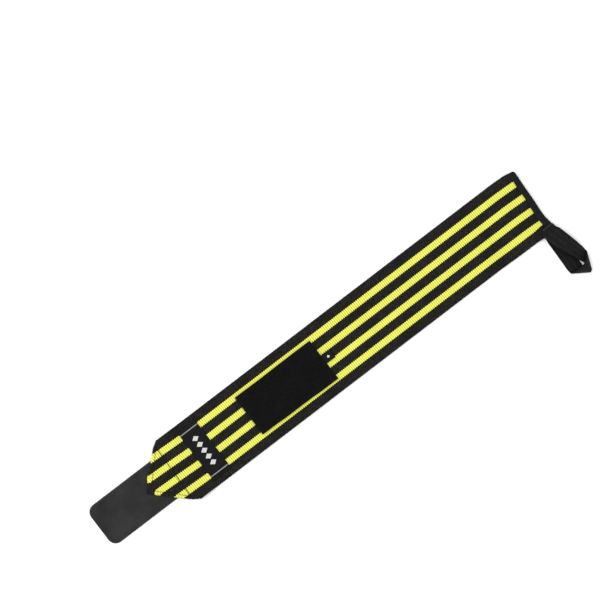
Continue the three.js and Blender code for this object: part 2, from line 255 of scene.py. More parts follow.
# Woven polyester tape in a fine herringbone: flat yarns that shine a little along the rows.
def wovenTape(look):
    material, tree = newCloth("herringbone polyester tape", look)
    place, along, across = clothPlace(tree)
    turned = calc("PINGPONG", across, look["wavePitch"] / 2)
    twill = ridges(calc("ADD", along, turned), look["pickPitch"])
    warp = ridges(across, look["pickPitch"] * 0.8)
    weave = product(twill, scaled(warp, 0.4, 0.6))
    turn = calc("FRACT", calc("DIVIDE", across, look["wavePitch"]))
    rowLight = scaled(calc("GREATER_THAN", turn, 0.5), -look["rowShade"], 1)
    mottle = scaled(unevenness(place, 3.5), 1.6, -0.3)
    # Painted shade: the leg that lies on the table under the loop is drawn darker.
    first, last = look["paintedShadeLeg"]
    legShadeShare = product(rescaled(along, first - 4, first + 8),
                    rescaled(along, last - 8, last + 8, 1, 0))
    lit = product(weave, rowLight, mottle, scaled(legShadeShare, -look["paintedShadeDepth"], 1))
    cloth = blend(lit, look["dark"], look["light"])
    nearCutEnd = product(calc("GREATER_THAN", along, look["lighterEndFrom"]), 0.8)
    colour = blend(nearCutEnd, cloth, look["cutEndColour"])
    return finishCloth(material, colour, scaled(unevenness(place, 0.9), 0.4, weave), look["relief"])


hookLook = {
    "roughness": 0.52,
    "specular": 0.19,
    "sheen": (0, 0.4),
    "face": "#101010",
    "faceLight": "#212121",
    "rubbed": "#2e2e2e",
    "cloudSize": 24,
    "grain": 0.7,
    "relief": 0.05,
}


# The back of nylon hook tape: a tight coated weave, smooth and slightly satin, rubbed at its edge.
def hookTape(look):
    material, tree = newCloth("coated hook tape", look)
    place, along, across = clothPlace(tree)
    grain = unevenness(place, look["grain"], 2)
    cloud = rescaled(unevenness(place, look["cloudSize"], 4), 0.34, 0.66)
    weave = product(ridges(along, look["grain"]), ridges(across, look["grain"]))
    face = blend(cloud, look["face"], look["faceLight"])
    worn = product(painted(tree, "edgeWear"), grain, 1.1)
    colour = blend(worn, face, look["rubbed"])
    return finishCloth(material, colour, scaled(grain, 0.8, weave), look["relief"])


hookStrandLook = {
    "roughness": 0.35,
    "specular": 0.5,
    "sheen": (0, 0.5),
    "dark": "#242424",
    "light": "#4a4a4a",
}


# Nylon monofilament hooks: thin stiff strands, semi-gloss.
def hookStrand(look):
    material, tree = newCloth("nylon hook strand", look)
    share = unevenness(objectPlace(tree), 6)
    return finishCloth(material, blend(share, look["dark"], look["light"]))


fleeceLook = {
    "roughness": 0.95,
    "specular": 0.05,
    "sheen": (0.05, 0.6),
    "deep": "#030303",
    "tip": "#1a1a1a",
    "tuft": 1.5,
    "strand": 0.6,
    "patchSize": 13,
    "relief": 0.55,
}


# Brushed nylon loops: a matt tangle of fine loops that lets little light back out.
def loopFleece(look):
    material, tree = newCloth("brushed loop fleece", look)
    place = objectPlace(tree)
    scale = {"Vector": place, "Scale": 1000 / look["tuft"], "Randomness": 1.0}
    tufts = addNode(tree, "ShaderNodeTexVoronoi", {"feature": "F1"}, scale).outputs["Distance"]
    strands = unevenness(place, look["strand"], 4)
    height = calc("SUBTRACT", product(strands, 0.9), product(tufts, 0.5))
    share = product(scaled(strands, 1.4, -0.3), unevenness(place, look["patchSize"]))
    colour = blend(share, look["deep"], look["tip"])
    return finishCloth(material, colour, height, look["relief"])


labelLook = {
    "roughness": 0.5,
    "specular": 0.1,
    "sheen": (0.02, 0.35),
    "ground": "#030304",
    "groundLight": "#0e0e12",
    "mark": "#c9c9c4",
    "line": "#8f8f8a",
    "markPitch": 8,
    "markCount": 5,
    "markLength": 6.4,
    "markWidth": 8.4,
    "lineFromEnd": 5.5,
    "lineWidth": 1.1,
    "threadPitch": 0.75,  # the real thread is about 0.25
    "relief": 0.06,
}


# Damask woven label: fine satin with a dull shine and a plain woven row of lozenges, which has a line
# at each end where a length is given.
def damaskLabel(name, look, length=None):
    material, tree = newCloth(name, look)
    place, along, across = clothPlace(tree)
    thread = ridges(across, look["threadPitch"])
    weave = scaled(ridges(along, look["threadPitch"] * 1.3), 0.35, product(thread, 0.65))
    lit = product(weave, scaled(unevenness(place, 8), 0.9, 0.3))
    ground = blend(lit, look["ground"], look["groundLight"])
    off, inRow = offMiddle(across, look["markPitch"], look["markCount"])
    reach = scaled(off, 2 / look["markLength"],
                   product(calc("ABSOLUTE", along), 2 / look["markWidth"]))
    isMark = product(calc("LESS_THAN", reach, 1), inRow)
    mark = product(isMark, scaled(weave, 0.25, 0.75))
    colour = blend(mark, ground, look["mark"])
    if length:
        fromLine = calc("SUBTRACT", calc("ABSOLUTE", across), length / 2 - look["lineFromEnd"])
        isLine = calc("LESS_THAN", calc("ABSOLUTE", fromLine), look["lineWidth"] / 2)
        line = product(isLine, scaled(weave, 0.3, 0.7))
        colour = blend(line, colour, look["line"])
    return finishCloth(material, colour, weave, look["relief"])


threadLook = {
    "roughness": 0.5,
    "specular": 0.15,
    "sheen": (0, 0.4),
    "dark": "#060606",
    "light": "#1c1c1c",
    "twist": 3,  # the real twist is about 0.5
    "relief": 0.08,
}


# Bonded polyester sewing thread: two plies twisted, with a faint shine on each.
def sewingThread(look):
    material, tree = newCloth("bonded sewing thread", look)
    settings = {"Vector": objectPlace(tree), "Scale": 1000 / look["twist"], "Distortion": 1.5}
    twist = addNode(tree, "ShaderNodeTexWave", {"bands_direction": "DIAGONAL"}, settings).outputs["Fac"]
    colour = blend(twist, look["dark"], look["light"])
    return finishCloth(material, colour, twist, look["relief"])


webbingMaterial = elasticWebbing(elasticLook)
tapeMaterial = wovenTape(tapeLook)
hookTapeMaterial = hookTape(hookLook)
hookStrandMaterial = hookStrand(hookStrandLook)
fleeceMaterial = loopFleece(fleeceLook)
threadMaterial = sewingThread(threadLook)
print("materials ready")


# Making pieces

def nothingSelected():
    if bpy.context.mode != "OBJECT":
        bpy.ops.object.mode_set(mode="OBJECT")
    bpy.ops.object.select_all(action="DESELECT")


def only(piece):
    nothingSelected()
    piece.select_set(True)
    bpy.context.view_layer.objects.active = piece


def named(name):  # names what was just added
    piece = bpy.context.object
    piece.name = piece.data.name = name
    return piece


def inMode(mode, selection=None):
    bpy.ops.object.mode_set(mode=mode)
    if selection:
        bpy.ops.mesh.select_all(action=selection)


def finishWith(piece, kind, **settings):  # adds one modifier and applies it
    only(piece)
    modifier = piece.modifiers.new(kind.title(), kind)
    for key, value in settings.items():
        setattr(modifier, key, value)
    bpy.ops.object.modifier_apply(modifier=modifier.name)


def repeatPiece(piece, counts, pitches):  # along x and then along y
    for axis, (count, pitch) in enumerate(zip(counts, pitches)):
        step = [0, 0, 0]
        step[axis] = pitch * mm
        finishWith(piece, "ARRAY", count=count, use_relative_offset=False, use_constant_offset=True,
                   constant_offset_displace=step)


def editWhere(piece, isChosen):  # edits the vertices whose x and y in millimetres are chosen
    only(piece)
    inMode("EDIT", "DESELECT")
    inMode("OBJECT")
    for vertex in piece.data.vertices:
        vertex.select = isChosen(vertex.co.x / mm, vertex.co.y / mm)
    inMode("EDIT")


# A sheet of cloth: a flat grid whose every point is laid in place on the middle of the cloth
def laySheet(name, alongLines, acrossLines, layPoint, flatPoint=None):
    nothingSelected()
    rows, columns = len(alongLines) - 1, len(acrossLines) - 1
    bpy.ops.mesh.primitive_grid_add(x_subdivisions=rows, y_subdivisions=columns, size=1)
    sheet = named(name)
    flat = {}
    for vertex in sheet.data.vertices:
        along = alongLines[round((vertex.co.x + 0.5) * rows)]
        across = acrossLines[round((vertex.co.y + 0.5) * columns)]
        flat[vertex.index] = flatPoint(along, across) if flatPoint else (along, across)
        vertex.co = Vector(layPoint(along, across)) * mm
    uvMap = sheet.data.uv_layers[0]
    uvMap.name = "flatCloth"
    for loop in sheet.data.loops:
        uvMap.data[loop.index].uv = [value * mm for value in flat[loop.vertex_index]]
    sheet.data.update()
    return sheet


def giveBody(sheet, thickness, edgeRound):
    finishWith(sheet, "SOLIDIFY", thickness=thickness * mm, offset=0, use_even_offset=True)
    finishWith(sheet, "BEVEL", width=edgeRound * mm, segments=2, limit_method="ANGLE",
               angle_limit=math.radians(50))
    only(sheet)
    bpy.ops.object.shade_smooth_by_angle(angle=math.radians(55))


def surfaceHeight(pieces, x, y, above):  # where a needle from above or below first meets the cloth
    start = Vector((x * mm, y * mm, 0.05 if above else -0.05))
    hits = [piece.ray_cast(start, (0, 0, -1 if above else 1)) for piece in pieces]
    heights = [hit[1].z / mm for hit in hits if hit[0]]
    return (max if above else min)(heights, default=None)


def dress(piece, material, slot, *nodes):
    piece.data.materials.clear()
    piece.data.materials.append(material)
    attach(piece, "root")
    if nodes:
        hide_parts(*nodes)


# The elastic band

band = {
    "width": 80.5,
    "thickness": 1.8,
    "edgeRound": 0.4,
    "stripeRise": 0.25,
    "ribEdge": (0.2, 0.5),  # inside and outside a stripe's edge, where its ribs slope down
    "tipRamp": 34,
    "tipSettle": 0.85,  # how much of the tab's thickness the band sinks beside the tab
    "endRamp": 14,
    "endSag": 1,
    "endSagLength": 34,
    "endStretch": 40,  # the length over which the grid takes up the slanted end
    "cutTaper": (8, 30),  # past the apex and past the shoulder
    "cornerDrop": 2.5,
    "cornerLength": 13.5,
    "cornerBend": 1.6,
    "foldSlack": 0.3,
    "foldLean": {1: 0.3, -1: 1.3},  # how far each fold's shoulder stands off an even point
    "shoulderRound": 1.5,
    "shoulderReach": 5.5,
    "shoulderTuck": 0.7,
    "tuckAlong": (-3, 9),  # from the shoulder
    "foldBulge": 1.7,
    "bulgeAt": (15, 6.5),  # across the band, and how far to each side
    "tipSway": 0.3,
    "stripeDrift": (2.9, 1.9),  # on the two middle stripes and on the two outer ones
    "driftAcross": (10, 27),
    "driftLength": 45,
    "tipStep": 0.85,
    "tipStepLength": 12,
    "bodyStep": 1.5,
    "waveHeight": 0.5,
    "waveLength": 62,
    "waveFrom": 22,  # from here to the edge
    "calmLength": 30,
    "seamInset": 3.4,
    "seamBack": (0.9, 3.1),  # at the two ends of the seam over the tab's end, from the shoulder
    "seamMargin": 3,
    "seamPoint": (6.4, 4.6),
    "seamEnd": 1.4,
    "seamDent": 0.3,
    "dentReach": (0.3, 1.7),
    "shadeReach": (0.25, 1.2),
    "seamShades": (1, 0.3, 0.3),
    "endFlare": 0.8,  # the sewing stretches the loop's side of the end
    "flareAlong": (82, 42),  # from the bound end
    "stripeTaper": 2.2,
    "taperAlong": (26, 8),  # from the bound end
    "taperAcross": (24.5, 29),
}
tab = {
    "length": 104,
    "width": 50.5,
    "offset": 1.2,
    "cornerRadius": 9.8,
    "backing": 0.7,
    "hookHeight": 0.8,
    "hookMargin": 1.8,
    "hookInset": 0.6,
    "hookPitch": (1.7, 1.5),
    "hookThickness": 0.3,
    "hookBend": 0.26,
    "hookTurn": 200,
}
tape = {
    "width": 18.5,
    "thickness": 1.2,
    "face": 7.4,
    "endSkew": 3,
    "reach": 62.8,
    "rise": 9.5,
    "widening": 0.6,  # how much further the binding reaches over the outer face at each step
    "wideningSteps": ((-4, 8), (22, 31)),  # across the band, towards the loop
    "cornerSlope": 0.22,
    "slopeFrom": 28,
    "cornerOpening": 13.5,
    "openingFrom": (-6, 2.4),  # from the band's edge
    "openingRows": 8,
    "columns": 18,
    "spanSteps": 5,
    "visualThickness": 1.05,
}
halfBand = band["width"] / 2
thick = tape["thickness"]
shoulder = tabEnd + tab["length"]
apex = shoulder - halfBand
tabThickness = tab["backing"] + tab["hookHeight"]
tipLift = tabThickness + band["thickness"] + 2 * clearance
endLift = thick + clearance
seatHeight = band["thickness"] + band["stripeRise"] + clearance
foldRadius = (seatHeight + clearance + thick) / 2
foldReach = foldRadius + thick / 2
lowerFlat = tape["width"] - (tape["face"] - foldReach) - math.pi * foldRadius
cornerStack = 2 * foldRadius + thick + clearance
cornerRadius = (band["thickness"] + band["foldSlack"]) / 2  # of the webbing turned under at the point
cornerReach = band["thickness"] + band["foldSlack"] / 2


def bandFloor(x, y=0):  # how high the band's inner face lies
    tip = 1 - ease(x, shoulder, shoulder + band["tipRamp"])
    overTab = 1 - ease(abs(y), tab["width"] / 2, halfBand - 2)
    lift = tipLift - tabThickness * band["tipSettle"] * (1 - overTab)
    edgeStart = boundEnd - foldReach - lowerFlat - tape["endSkew"]
    end = ease(x, edgeStart - band["endRamp"], edgeStart - clearance)
    free = 1 - ease(x, edgeStart - band["calmLength"], edgeStart) - tip * 0.6
    wave = max(0, wander(x, 0, band["waveLength"], 3 if y > 0 else 8))
    wave *= ease(abs(y), band["waveFrom"], halfBand)
    return tip * lift + end * endLift + max(0, free) * wave * band["waveHeight"]


def sideways(x):  # the band's way off its straight line
    tip = 1 - ease(x, shoulder, shoulder + band["tipRamp"])
    return tip * band["tipSway"] - band["endSag"] * ease(x, boundEnd - band["endSagLength"], boundEnd)


endEdge = [  # across the band, and how far the end stands in, both as shares
    (0.925, 0.5), (0.9, 0.06), (0.87, -0.1), (0.74, 0), (0.42, 0.27), (0, 0.5),
    (-0.35, 0.87), (-0.55, 0.97), (-0.78, 0.52), (-0.93, 0.4), (-1.06, 0.3),
]


def endInset(across):
    for (upper, first), (lower, second) in zip(endEdge, endEdge[1:]):
        if across >= lower:
            return tape["endSkew"] * mix(second, first, min((across - lower) / (upper - lower), 1))
    return tape["endSkew"] * endEdge[-1][1]


def foldAngle(side):  # between the band's middle line and the fold on that side
    return math.atan2(halfBand, halfBand + band["foldLean"][side])


def cutLine(y):  # where the flat webbing is cut, so that both flaps meet along the middle
    angle = foldAngle(1 if y >= 0 else -1)
    spare = math.cos(angle) * (2 * cornerReach - math.pi * cornerRadius)
    return apex + (clearance + spare + abs(y) * math.cos(2 * angle)) / math.sin(2 * angle)


def tipSeams():  # across the band over the tab's end, and along both folds
    inset, margin = band["seamInset"], band["seamMargin"]
    upper, lower = (shoulder - back for back in band["seamBack"])
    lines = [((upper, halfBand - margin), (lower, margin - halfBand))]
    for side in (1, -1):
        angle = foldAngle(side)
        inward = (math.sin(angle) * inset, -side * math.cos(angle) * inset)
        point = (apex + band["seamPoint"][0] + inward[0], side * band["seamPoint"][1] + inward[1])
        endX = shoulder + band["foldLean"][side] - band["seamEnd"] + inward[0]
        lines.append((point, (endX, side * (halfBand - band["seamEnd"]) + inward[1])))
    return [[(x, y + band["tipSway"]) for x, y in line] for line in lines]


def distanceTo(x, y, line):
    (x0, y0), (x1, y1) = line
    along = ((x - x0) * (x1 - x0) + (y - y0) * (y1 - y0)) / ((x1 - x0) ** 2 + (y1 - y0) ** 2)
    along = min(max(along, 0), 1)
    return math.hypot(x - mix(x0, x1, along), y - mix(y0, y1, along))


def sidesOf(corners):  # the lines round a box
    return list(zip(corners, corners[1:] + corners[:1]))


def bandCrossLines():
    lines = [-halfBand, -halfBand + 0.5]
    half, pitch = elasticLook["stripeWidth"] / 2, elasticLook["stripePitch"]
    for k in range(elasticLook["stripeCount"]):
        middle = (k - (elasticLook["stripeCount"] - 1) / 2) * pitch
        lines += evenSteps(lines[-1], middle - half - 0.3, 8)[1:]
        lines += evenSteps(middle - half, middle + half, 6)
        lines.append(middle + half + 0.3)
    lines += evenSteps(lines[-1], halfBand - 0.5, 8)[1:]
    return lines + [halfBand]


def onCloth(x, y):  # the flat cloth's own place for a point of the grid, past the slanted cut
    taper = 1 - ease(x, apex + band["cutTaper"][0], shoulder + band["cutTaper"][1])
    x += (cutLine(y) - cutLine(0)) * taper
    end = boundEnd - foldReach - endInset(y / halfBand)
    stretch = band["endStretch"]
    if x > boundEnd - stretch:
        x = mix(boundEnd - stretch, end, (x - boundEnd + stretch) / (stretch - foldReach))
    return x, y


def bandFlatPoint(x, y):  # the stripes drift a little on their way to the point
    x, y = onCloth(x, y)
    drift = mix(*band["stripeDrift"], ease(abs(y), *band["driftAcross"])) - band["tipSway"]
    taper = ease(x, *(boundEnd - back for back in band["taperAlong"]))
    taper *= band["stripeTaper"] * ease(-y, *band["taperAcross"])
    return x, y - drift * (1 - ease(x, apex, shoulder + band["driftLength"])) - taper


def layBandPoint(x, y):  # flat cloth to the band, with both corners of its end turned under
    x, y = onCloth(x, y)
    side = 1 if y >= 0 else -1
    angle = foldAngle(side)
    rolled = band["shoulderRound"] * ease(abs(y), halfBand - band["shoulderReach"], halfBand)
    middle, spread = band["bulgeAt"]
    bulge = band["foldBulge"] * math.exp(-((y - middle) / spread) ** 2)
    beyond = cornerReach + rolled - bulge - (x - apex) * math.sin(angle) + abs(y) * math.cos(angle)
    drop = 0
    if beyond > 0:
        turn = min(beyond / cornerRadius, math.pi)
        out = cornerRadius * math.sin(turn) - max(0, beyond - math.pi * cornerRadius)
        drop = cornerRadius * (1 - math.cos(turn))
        x += (beyond - out) * math.sin(angle)
        y -= side * (beyond - out) * math.cos(angle)
    share = y / halfBand
    corner = max(0, (x - boundEnd) / band["cornerLength"] + 1) ** band["cornerBend"] * band["cornerDrop"]
    settled = y - corner * ease(share, 0.7, 1) * share + sideways(x)
    flare = ease(x, *(boundEnd - back for back in band["flareAlong"]))
    settled -= band["endFlare"] * flare * ease(-share, 0.3, 1)
    tuck = 1 - ease(x, *(shoulder + past for past in band["tuckAlong"]))
    settled -= side * band["shoulderTuck"] * ease(abs(share), 0.8, 1) * tuck
    dent = 0
    if x < shoulder + 6 and drop < cornerRadius:
        near = min(distanceTo(x, settled, line) for line in tipSeams())
        dent = band["seamDent"] * (1 - ease(near, *band["dentReach"]))
    return x, settled, bandFloor(x, y) + band["thickness"] / 2 - drop - dent


def raiseStripes(piece):  # the stripes' yarns stand a little higher on the outer face
    flat = {}
    for loop in piece.data.loops:
        flat[loop.vertex_index] = piece.data.uv_layers["flatCloth"].data[loop.index].uv[1] / mm
    raised = {}
    for vertex in piece.data.vertices:
        if vertex.normal.z > 0.5 and vertex.co.z > band["thickness"] * 0.7 * mm:
            rise = vertex.normal * band["stripeRise"] * ribShare(flat[vertex.index])
            raised[vertex.index] = vertex.co + rise * mm
    for index, place in raised.items():
        piece.data.vertices[index].co = place


def ribShare(y):  # 1 on a stripe and 0 between stripes
    pitch = elasticLook["stripePitch"]
    place = y / pitch + elasticLook["stripeCount"] / 2
    if not 0 < place < elasticLook["stripeCount"]:
        return 0
    edge = abs(place % 1 - 0.5) * pitch - elasticLook["stripeWidth"] / 2
    inside, outside = band["ribEdge"]
    return 1 - ease(edge, -inside, outside)


def shadeSeams(piece):  # marks painted shade along each seam, in the groove where it presses the cloth in
    shade = piece.data.attributes.new("seamShade", "FLOAT", "POINT")
    seams = list(zip(tipSeams(), band["seamShades"]))
    for vertex in piece.data.vertices:
        x, y = vertex.co.x / mm, vertex.co.y / mm
        if x < shoulder + 4:
            marks = [strength * (1 - ease(distanceTo(x, y, line), *band["shadeReach"]))
                     for line, strength in seams]
            shade.data[vertex.index].value = max(marks)


def makeBand():
    start, end = cutLine(0), boundEnd - foldReach
    change = shoulder + band["tipStepLength"]
    alongLines = evenSteps(start, change, round((change - start) / band["tipStep"]))
    alongLines += evenSteps(change, end, round((end - change) / band["bodyStep"]))[1:]
    piece = laySheet("elasticBand", alongLines, bandCrossLines(), layBandPoint, bandFlatPoint)
    giveBody(piece, band["thickness"], band["edgeRound"])
    raiseStripes(piece)
    shadeSeams(piece)
    dress(piece, webbingMaterial, "elastic_webbing", "elastic_band")
    return piece


bandPiece = makeBand()
print("elastic band laid")


# The hook tab: a coated backing with its hooks towards the floor

def flatMap(piece):  # the cloth's own flat place, for a piece that lies flat
    uvMap = piece.data.uv_layers[0]
    uvMap.name = "flatCloth"
    for loop in piece.data.loops:
        uvMap.data[loop.index].uv = piece.data.vertices[loop.vertex_index].co.xy


def makeTab():  # a rectangle whose corners are rounded at the free end
    nothingSelected()
    middle = ((tabEnd + shoulder) / 2, tab["offset"], tab["hookHeight"] + tab["backing"] / 2)
    bpy.ops.mesh.primitive_plane_add(size=1, location=[value * mm for value in middle])
    piece = named("hookTab")
    piece.scale = (tab["length"] * mm, tab["width"] * mm, 1)
    bpy.ops.object.transform_apply()
    editWhere(piece, lambda x, y: x < tabEnd + 1)
    bpy.ops.mesh.bevel(offset=tab["cornerRadius"] * mm, segments=9, affect="VERTICES")
    bpy.ops.mesh.select_all(action="SELECT")
    bpy.ops.mesh.inset(thickness=tab["hookMargin"] * mm)
    inMode("OBJECT")
    inner = {k for face in piece.data.polygons if len(face.vertices) > 4 for k in face.vertices}
    wear = piece.data.attributes.new("edgeWear", "FLOAT", "POINT")
    for vertex in piece.data.vertices:
        wear.data[vertex.index].value = 0 if vertex.index in inner else 1
    flatMap(piece)
    giveBody(piece, tab["backing"], 0.18)
    dress(piece, hookTapeMaterial, "hook_tape", "hook_tab")
    return piece


def makeHooks():  # one hook is shaped, repeated over the tab and cut back to its rounded corners
    nothingSelected()
    inset = tab["hookMargin"] + tab["hookInset"]
    start = (tabEnd + inset, tab["offset"] - tab["width"] / 2 + inset)
    root = (start[0] * mm, start[1] * mm, (tab["hookHeight"] + 0.05) * mm)  # just inside the backing
    bpy.ops.mesh.primitive_circle_add(vertices=5, radius=tab["hookThickness"] / 2 * mm, fill_type="NGON",
                                      location=root)
    piece = named("hookField")
    bpy.ops.object.transform_apply()
    bend = tab["hookBend"]
    inMode("EDIT", "SELECT")
    down = (0, 0, -(tab["hookHeight"] - bend - 0.1) * mm)
    bpy.ops.mesh.extrude_region_move(TRANSFORM_OT_translate={"value": down})
    centre = ((start[0] + bend) * mm, start[1] * mm, (bend + 0.15) * mm)
    bpy.ops.mesh.spin(steps=4, angle=math.radians(-tab["hookTurn"]), center=centre, axis=(0, 1, 0))
    bpy.ops.mesh.select_all(action="SELECT")
    bpy.ops.mesh.normals_make_consistent(inside=False)
    inMode("OBJECT")
    columns = int((tab["length"] - inset - 2) / tab["hookPitch"][0])
    rows = int((tab["width"] - 2 * inset) / tab["hookPitch"][1])
    repeatPiece(piece, (columns, rows), tab["hookPitch"])
    corner = tab["cornerRadius"] - inset

    def isPastCorner(x, y):
        x, y = x - start[0], abs(y - tab["offset"]) - tab["width"] / 2 + inset
        return x < corner and y > -corner and math.hypot(corner - x, corner + y) > corner

    editWhere(piece, isPastCorner)
    bpy.ops.mesh.select_linked()
    bpy.ops.mesh.delete(type="VERT")
    inMode("OBJECT")
    bpy.ops.object.shade_smooth()
    dress(piece, hookStrandMaterial, "hook_tape")


tabPiece = makeTab()
makeHooks()
print("hook tab and its hooks made")


# The woven label, sewn down along its edges

label = {
    "offset": 27,
    "width": 24,
    "length": 66.5,
    "thickness": 0.7,
    "crown": 0.25,
    "crownEdge": (0.8, 4),  # the flat sewn edge and where the crown is full
    "ripple": 0.08,
    "seamInset": 1.3,
    "steps": (30, 84),
}


def makeLabel():
    left = shoulder + label["offset"]
    half = label["length"] / 2

    def layPoint(x, y):
        inward = min(x - left, left + label["width"] - x, half - abs(y))
        crown = label["crown"] * ease(inward, *label["crownEdge"])
        rib = band["stripeRise"] * ribShare(y - sideways(x))
        height = bandFloor(x, y) + band["thickness"] + 0.1 + rib + crown + label["thickness"] / 2
        return x, y, height + label["ripple"] * wander(x, y, 9, 21)

    def flatPoint(x, y):
        return x - left - label["width"] / 2, y

    alongLines = evenSteps(left, left + label["width"], label["steps"][0])
    acrossLines = evenSteps(-half, half, label["steps"][1])
    piece = laySheet("wovenLabel", alongLines, acrossLines, layPoint, flatPoint)
    giveBody(piece, label["thickness"], 0.2)
    material = damaskLabel("damask woven label", labelLook, label["length"])
    dress(piece, material, "label_cloth", "woven_label")
    return piece


labelPiece = makeLabel()


# The loop patch, pressed in where its box and cross are sewn

patch = {
    "offset": 100.2,
    "length": 102.8,
    "width": 50.5,
    "flare": 1.5,
    "thickness": 1.7,
    "seamInset": 2.6,
    "seamWidth": 1.5,
    "seamDepth": 0.55,
    "edgeRoll": (0.35, 1.6),  # how deep and how wide the edge is rolled down
    "pile": 0.16,
    "cushion": 0.2,
    "edgeSway": (0.15, 0.25),  # at the ends and at the long edges
    "step": 0.8,
}
patchStart = shoulder + patch["offset"]
patchEnd = patchStart + patch["length"]


def patchSeams():  # a box and a cross
    inset = patch["seamInset"]
    left, right = patchStart + inset, patchEnd - inset
    half = patch["width"] / 2 - inset
    corners = [(left, -half), (right, -half - patch["flare"]), (right, half), (left, half)]
    return sidesOf(corners) + [(corners[0], corners[2]), (corners[1], corners[3])]


def makePatch():
    left = patchStart
    lines = patchSeams()

    def layPoint(x, y):
        share = (x - left) / patch["length"]
        wide = y - patch["flare"] * share * (0.5 - y / patch["width"])
        wide += patch["edgeSway"][1] * wander(x, y, 17, 5) * ease(abs(y), 18, 25)
        near = min(distanceTo(x, wide, line) for line in lines)
        pressed = patch["seamDepth"] * (1 - ease(near, 0.2, patch["seamWidth"] * 1.6))
        edge = min(x - left, patchEnd - x, patch["width"] / 2 - abs(y))
        rolled = patch["edgeRoll"][0] * (1 - ease(edge, 0, patch["edgeRoll"][1]))
        pile = patch["pile"] * (wander(x, y, 1.5, 2) + 0.6 * wander(x, y, 0.9, 9))
        pile += patch["cushion"] * wander(x, y, 12, 4)
        height = seatHeight + patch["thickness"] / 2 + 0.25 - pressed - rolled + pile
        return x + patch["edgeSway"][0] * wander(y, x, 11, 6), wide + sideways(x), height

    steps = round(patch["length"] / patch["step"]), round(patch["width"] / patch["step"])
    acrossLines = evenSteps(-patch["width"] / 2, patch["width"] / 2, steps[1])
    piece = laySheet("loopPatch", evenSteps(left, patchEnd, steps[0]), acrossLines, layPoint)
    giveBody(piece, patch["thickness"], 0.4)
    dress(piece, fleeceMaterial, "loop_fleece", "loop_patch")
    return piece


patchPiece = makePatch()

fleece = {
    "pitch": 1.4,
    "strand": 0.26,  # bundles of the real 0.05 loops, which are too fine to show
    "height": 0.55,
    "turnSize": 0.42,
    "reach": 0.85,
    "turns": 1.5,
    "sunk": 0.15,
    "segments": 11,
    "margin": (0.8, 0.6),
    "stray": 0.4,  # of the pitch, to each side
    "sizes": (0.75, 1.15),
}


def makeFleece():  # one brushed loop is shaped, repeated over the patch, and each is then laid its own way
    def curl(t):
        turn = math.tau * fleece["turns"] * t
        return Vector((fleece["reach"] * (t - 0.5) + fleece["turnSize"] * math.cos(turn),
                       fleece["turnSize"] * math.sin(turn),
                       fleece["height"] * math.sin(math.pi * t) - fleece["sunk"]))

    def layPoint(t, angle):
        run = (curl(min(t + 0.02, 1)) - curl(max(t - 0.02, 0))).normalized()
        side = run.cross(Vector((0, 0, 1))).normalized()
        outward = math.cos(angle) * side + math.sin(angle) * side.cross(run)
        return curl(t) + outward * fleece["strand"] / 2

    piece = laySheet("patchLoops", evenSteps(0, 1, fleece["segments"]), evenSteps(0, math.tau, 3), layPoint)
    inMode("EDIT", "SELECT")
    bpy.ops.mesh.remove_doubles(threshold=0.002 * mm)
    bpy.ops.mesh.normals_make_consistent(inside=False)
    inMode("OBJECT")
    perCurl = len(piece.data.vertices)
    length, width = patch["length"] - 2 * fleece["margin"][0], patch["width"] - 2 * fleece["margin"][1]
    counts = round(length / fleece["pitch"]), round(width / fleece["pitch"])
    apart = 10  # so that no two loops touch before they are laid
    repeatPiece(piece, counts, (apart, apart))
    dice = Random(7)
    stray = fleece["stray"]
    left = patchStart + fleece["margin"][0]
    for k in range(counts[0] * counts[1]):
        column, row = k % counts[0], k // counts[0]
        across = (row + 0.5 + dice.uniform(-stray, stray)) / counts[1] - 0.5
        along = (column + 0.5 + dice.uniform(-stray, stray)) / counts[0]
        x = left + along * length
        y = across * width - patch["flare"] * along * (0.5 - across)
        height = surfaceHeight([patchPiece], x, y, True)
        turned = Matrix.Rotation(dice.uniform(0, math.tau), 4, "Z")
        sized = Matrix.Scale(dice.uniform(*fleece["sizes"]), 4)
        placed = Matrix.Translation(Vector((x, y, height)) * mm) @ (turned @ sized)
        origin = Matrix.Translation(Vector((-apart * column, -apart * row, 0)) * mm)
        for vertex in piece.data.vertices[k * perCurl:(k + 1) * perCurl]:
            vertex.co = placed @ origin @ vertex.co
    only(piece)
    bpy.ops.object.shade_smooth()
    dress(piece, fleeceMaterial, "loop_fleece")


# The size tag: a narrow woven strip folded double, its ends under the patch

tag = {
    "width": 10.5,
    "length": 12,
    "tuck": 5,
    "thickness": 0.42,
    "gap": 0.12,
    "middle": -0.8,
    "lift": 0.5,
    "sunk": 0.2,
}


def makeTag():
    radius = (tag["thickness"] + tag["gap"]) / 2
    straight = tag["tuck"] + tag["length"] - radius - tag["thickness"] / 2
    arc = math.pi * radius
    length = 2 * straight + arc
    start = patchEnd - tag["tuck"]

    def layPoint(along, y):
        base = seatHeight - tag["sunk"] + tag["thickness"] / 2
        base += tag["lift"] * ease(min(along, length - along), tag["tuck"] + 1, straight)
        y += tag["middle"]
        if along <= straight:
            return start + along, y, base
        if along >= straight + arc:
            return start + length - along, y, base + 2 * radius
        turn = (along - straight) / radius
        return start + straight + radius * math.sin(turn), y, base + radius * (1 - math.cos(turn))

    def flatPoint(along, y):
        return along - (length - tag["tuck"] - tag["length"] / 2), y

    lines = evenSteps(0, straight, 18) + evenSteps(straight, straight + arc, 6)[1:]
    lines += evenSteps(straight + arc, length, 18)[1:]
    half = tag["width"] / 2
    piece = laySheet("sizeTag", lines, evenSteps(-half, half, 10), layPoint, flatPoint)
    giveBody(piece, tag["thickness"], 0.12)
    tagLook = dict(labelLook, markCount=1, markPitch=10, markLength=3.6, markWidth=3.6)
    dress(piece, damaskLabel("damask woven tag", tagLook), "tag_cloth", "size_tag")


